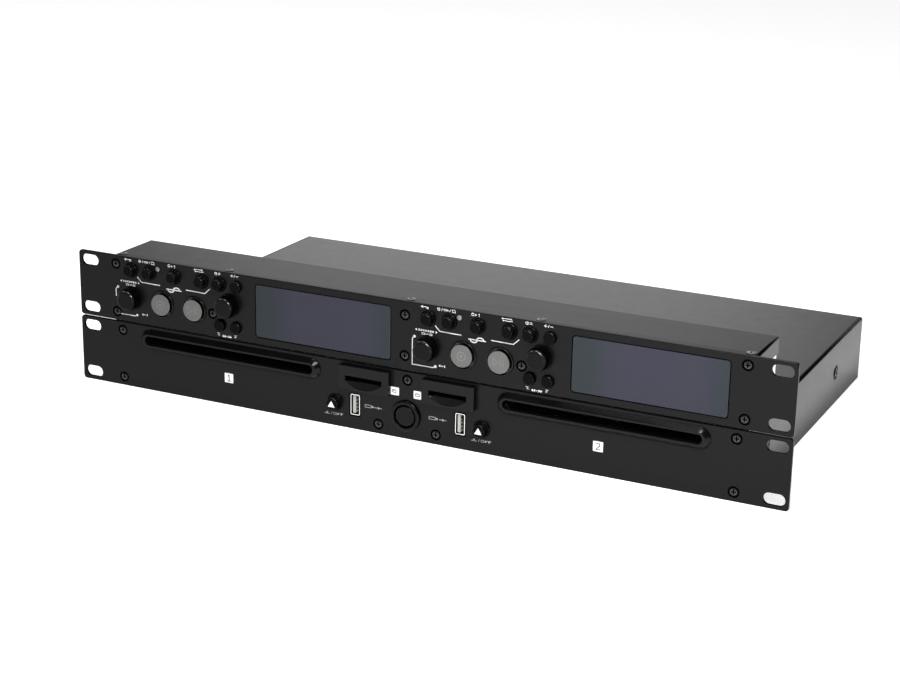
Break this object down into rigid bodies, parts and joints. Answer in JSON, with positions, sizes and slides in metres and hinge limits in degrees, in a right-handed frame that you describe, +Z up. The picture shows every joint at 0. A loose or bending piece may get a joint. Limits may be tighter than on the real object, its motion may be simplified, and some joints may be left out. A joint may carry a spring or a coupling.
{
  "type": "rack-mount slot-loading disc player with control unit",
  "caption": "Black rack-mount slot-loading disc player for DJs: a deep drive unit with card and memory sockets under a shallow control unit with displays, knobs and push buttons.",
  "frame": {"origin": "on the drive unit's flat base, on the centre line and half way along its depth", "axes": "+X to the right along the faceplates, +Y from the faceplates to the rear, +Z up"},
  "size_m": [0.4826, 0.2662, 0.0882],
  "materials": {
    "faceplate_black": "satin powder coat",
    "cover_black": "satin powder coat",
    "chassis_steel": "plated sheet",
    "zinc_steel": "zinc plated",
    "bezel_black": "fine satin",
    "bright_shell": "bright nickel",
    "white_plastic": "smooth",
    "screw_black": "black oxide",
    "socket_metal": "nickel",
    "circuit_board": "solder mask",
    "display_window": "tinted, polished",
    "display_dark": "dark",
    "switch_plastic": "moulded",
    "ring_clear": "smoked translucent",
    "button_silver": "satin silver",
    "button_black": "satin",
    "knob_black": "satin",
    "shaft_steel": "turned",
    "drive_plastic": "moulded",
    "roller_rubber": "matt"
  },
  "bodies": {
    "player": {"player_faceplate": "faceplate_black", "player_chassis": "chassis_steel", "player_cover": "cover_black", "disc_slot_bezels": "bezel_black", "card_slot_bezels": "bezel_black", "usb_shells": "bright_shell", "usb_tongues": "white_plastic", "power_ring": "bezel_black", "player_screws": "screw_black", "rear_sockets": "socket_metal", "mains_inlet": "bezel_black", "front_board": "circuit_board", "main_board": "circuit_board", "power_supply": "circuit_board", "drive_frames": "zinc_steel"},
    "controller": {"controller_faceplate": "faceplate_black", "controller_chassis": "zinc_steel", "controller_cover": "cover_black", "controller_screws": "screw_black", "display_windows": "display_window", "display_modules": "display_dark", "control_board": "circuit_board", "switches_and_encoders": "switch_plastic", "cue_play_rings": "ring_clear", "link_sockets": "socket_metal"},
    "back_button_1": {"back_button_1": "button_black"},
    "source_button_1": {"source_button_1": "button_black"},
    "single_button_1": {"single_button_1": "button_black"},
    "repeat_button_1": {"repeat_button_1": "button_black"},
    "time_button_1": {"time_button_1": "button_black"},
    "pitch_button_1": {"pitch_button_1": "button_black"},
    "search_back_button_1": {"search_back_button_1": "button_black"},
    "search_forward_button_1": {"search_forward_button_1": "button_black"},
    "cue_button_1": {"cue_button_1": "button_silver"},
    "play_button_1": {"play_button_1": "button_silver"},
    "select_shaft_1": {"select_shaft_1": "shaft_steel"},
    "select_knob_1": {"select_knob_1": "knob_black"},
    "pitch_knob_1": {"pitch_knob_1": "knob_black"},
    "back_button_2": {"back_button_2": "button_black"},
    "source_button_2": {"source_button_2": "button_black"},
    "single_button_2": {"single_button_2": "button_black"},
    "repeat_button_2": {"repeat_button_2": "button_black"},
    "time_button_2": {"time_button_2": "button_black"},
    "pitch_button_2": {"pitch_button_2": "button_black"},
    "search_back_button_2": {"search_back_button_2": "button_black"},
    "search_forward_button_2": {"search_forward_button_2": "button_black"},
    "cue_button_2": {"cue_button_2": "button_silver"},
    "play_button_2": {"play_button_2": "button_silver"},
    "select_shaft_2": {"select_shaft_2": "shaft_steel"},
    "select_knob_2": {"select_knob_2": "knob_black"},
    "pitch_knob_2": {"pitch_knob_2": "knob_black"},
    "eject_button_1": {"eject_button_1": "button_black"},
    "eject_button_2": {"eject_button_2": "button_black"},
    "power_button": {"power_button": "button_black"},
    "turntable_1": {"turntable_1": "drive_plastic"},
    "pickup_1": {"pickup_1": "drive_plastic"},
    "feed_roller_1": {"feed_roller_1": "roller_rubber"},
    "turntable_2": {"turntable_2": "drive_plastic"},
    "pickup_2": {"pickup_2": "drive_plastic"},
    "feed_roller_2": {"feed_roller_2": "roller_rubber"}
  },
  "joints": [
    {"name": "controller_lift", "type": "slide", "parent": "player", "child": "controller", "axis": [0, 0, 1], "range_m": [0, 0.06]},
    {"name": "back_button_1_push", "type": "slide", "parent": "controller", "child": "back_button_1", "axis": [0, 1, 0], "range_m": [0, 0.0008], "stiffness_N_per_m": 600},
    {"name": "source_button_1_push", "type": "slide", "parent": "controller", "child": "source_button_1", "axis": [0, 1, 0], "range_m": [0, 0.0008], "stiffness_N_per_m": 600},
    {"name": "single_button_1_push", "type": "slide", "parent": "controller", "child": "single_button_1", "axis": [0, 1, 0], "range_m": [0, 0.0008], "stiffness_N_per_m": 600},
    {"name": "repeat_button_1_push", "type": "slide", "parent": "controller", "child": "repeat_button_1", "axis": [0, 1, 0], "range_m": [0, 0.0008], "stiffness_N_per_m": 600},
    {"name": "time_button_1_push", "type": "slide", "parent": "controller", "child": "time_button_1", "axis": [0, 1, 0], "range_m": [0, 0.0008], "stiffness_N_per_m": 600},
    {"name": "pitch_button_1_push", "type": "slide", "parent": "controller", "child": "pitch_button_1", "axis": [0, 1, 0], "range_m": [0, 0.0008], "stiffness_N_per_m": 600},
    {"name": "search_back_button_1_push", "type": "slide", "parent": "controller", "child": "search_back_button_1", "axis": [0, 1, 0], "range_m": [0, 0.0008], "stiffness_N_per_m": 600},
    {"name": "search_forward_button_1_push", "type": "slide", "parent": "controller", "child": "search_forward_button_1", "axis": [0, 1, 0], "range_m": [0, 0.0008], "stiffness_N_per_m": 600},
    {"name": "cue_button_1_push", "type": "slide", "parent": "controller", "child": "cue_button_1", "axis": [0, 1, 0], "range_m": [0, 0.0008], "stiffness_N_per_m": 600},
    {"name": "play_button_1_push", "type": "slide", "parent": "controller", "child": "play_button_1", "axis": [0, 1, 0], "range_m": [0, 0.0008], "stiffness_N_per_m": 600},
    {"name": "select_shaft_1_push", "type": "slide", "parent": "controller", "child": "select_shaft_1", "axis": [0, 1, 0], "range_m": [0, 0.0006], "stiffness_N_per_m": 700},
    {"name": "select_knob_1_turn", "type": "hinge", "parent": "select_shaft_1", "child": "select_knob_1", "pos_m": [-0.2009, -0.125, 0.0607], "axis": [0, 1, 0], "continuous": true},
    {"name": "pitch_knob_1_turn", "type": "hinge", "parent": "controller", "child": "pitch_knob_1", "pos_m": [-0.1271, -0.125, 0.0666], "axis": [0, 1, 0], "continuous": true},
    {"name": "back_button_2_push", "type": "slide", "parent": "controller", "child": "back_button_2", "axis": [0, 1, 0], "range_m": [0, 0.0008], "stiffness_N_per_m": 600},
    {"name": "source_button_2_push", "type": "slide", "parent": "controller", "child": "source_button_2", "axis": [0, 1, 0], "range_m": [0, 0.0008], "stiffness_N_per_m": 600},
    {"name": "single_button_2_push", "type": "slide", "parent": "controller", "child": "single_button_2", "axis": [0, 1, 0], "range_m": [0, 0.0008], "stiffness_N_per_m": 600},
    {"name": "repeat_button_2_push", "type": "slide", "parent": "controller", "child": "repeat_button_2", "axis": [0, 1, 0], "range_m": [0, 0.0008], "stiffness_N_per_m": 600},
    {"name": "time_button_2_push", "type": "slide", "parent": "controller", "child": "time_button_2", "axis": [0, 1, 0], "range_m": [0, 0.0008], "stiffness_N_per_m": 600},
    {"name": "pitch_button_2_push", "type": "slide", "parent": "controller", "child": "pitch_button_2", "axis": [0, 1, 0], "range_m": [0, 0.0008], "stiffness_N_per_m": 600},
    {"name": "search_back_button_2_push", "type": "slide", "parent": "controller", "child": "search_back_button_2", "axis": [0, 1, 0], "range_m": [0, 0.0008], "stiffness_N_per_m": 600},
    {"name": "search_forward_button_2_push", "type": "slide", "parent": "controller", "child": "search_forward_button_2", "axis": [0, 1, 0], "range_m": [0, 0.0008], "stiffness_N_per_m": 600},
    {"name": "cue_button_2_push", "type": "slide", "parent": "controller", "child": "cue_button_2", "axis": [0, 1, 0], "range_m": [0, 0.0008], "stiffness_N_per_m": 600},
    {"name": "play_button_2_push", "type": "slide", "parent": "controller", "child": "play_button_2", "axis": [0, 1, 0], "range_m": [0, 0.0008], "stiffness_N_per_m": 600},
    {"name": "select_shaft_2_push", "type": "slide", "parent": "controller", "child": "select_shaft_2", "axis": [0, 1, 0], "range_m": [0, 0.0006], "stiffness_N_per_m": 700},
    {"name": "select_knob_2_turn", "type": "hinge", "parent": "select_shaft_2", "child": "select_knob_2", "pos_m": [0.0133, -0.125, 0.0607], "axis": [0, 1, 0], "continuous": true},
    {"name": "pitch_knob_2_turn", "type": "hinge", "parent": "controller", "child": "pitch_knob_2", "pos_m": [0.0871, -0.125, 0.0666], "axis": [0, 1, 0], "continuous": true},
    {"name": "eject_button_1_push", "type": "slide", "parent": "player", "child": "eject_button_1", "axis": [0, 1, 0], "range_m": [0, 0.0008], "stiffness_N_per_m": 600},
    {"name": "eject_button_2_push", "type": "slide", "parent": "player", "child": "eject_button_2", "axis": [0, 1, 0], "range_m": [0, 0.0008], "stiffness_N_per_m": 600},
    {"name": "power_button_push", "type": "slide", "parent": "player", "child": "power_button", "axis": [0, 1, 0], "range_m": [0, 0.0015], "stiffness_N_per_m": 500},
    {"name": "turntable_1_spin", "type": "hinge", "parent": "player", "child": "turntable_1", "pos_m": [-0.1271, -0.059, 0.026], "axis": [0, 0, 1], "continuous": true},
    {"name": "pickup_1_travel", "type": "slide", "parent": "player", "child": "pickup_1", "axis": [0, 1, 0], "range_m": [0, 0.03]},
    {"name": "feed_roller_1_spin", "type": "hinge", "parent": "player", "child": "feed_roller_1", "pos_m": [-0.1271, -0.112, 0.0272], "axis": [1, 0, 0], "continuous": true},
    {"name": "turntable_2_spin", "type": "hinge", "parent": "player", "child": "turntable_2", "pos_m": [0.1271, -0.059, 0.026], "axis": [0, 0, 1], "continuous": true},
    {"name": "pickup_2_travel", "type": "slide", "parent": "player", "child": "pickup_2", "axis": [0, 1, 0], "range_m": [0, 0.03]},
    {"name": "feed_roller_2_spin", "type": "hinge", "parent": "player", "child": "feed_roller_2", "pos_m": [0.1271, -0.112, 0.0272], "axis": [1, 0, 0], "continuous": true}
  ]
}
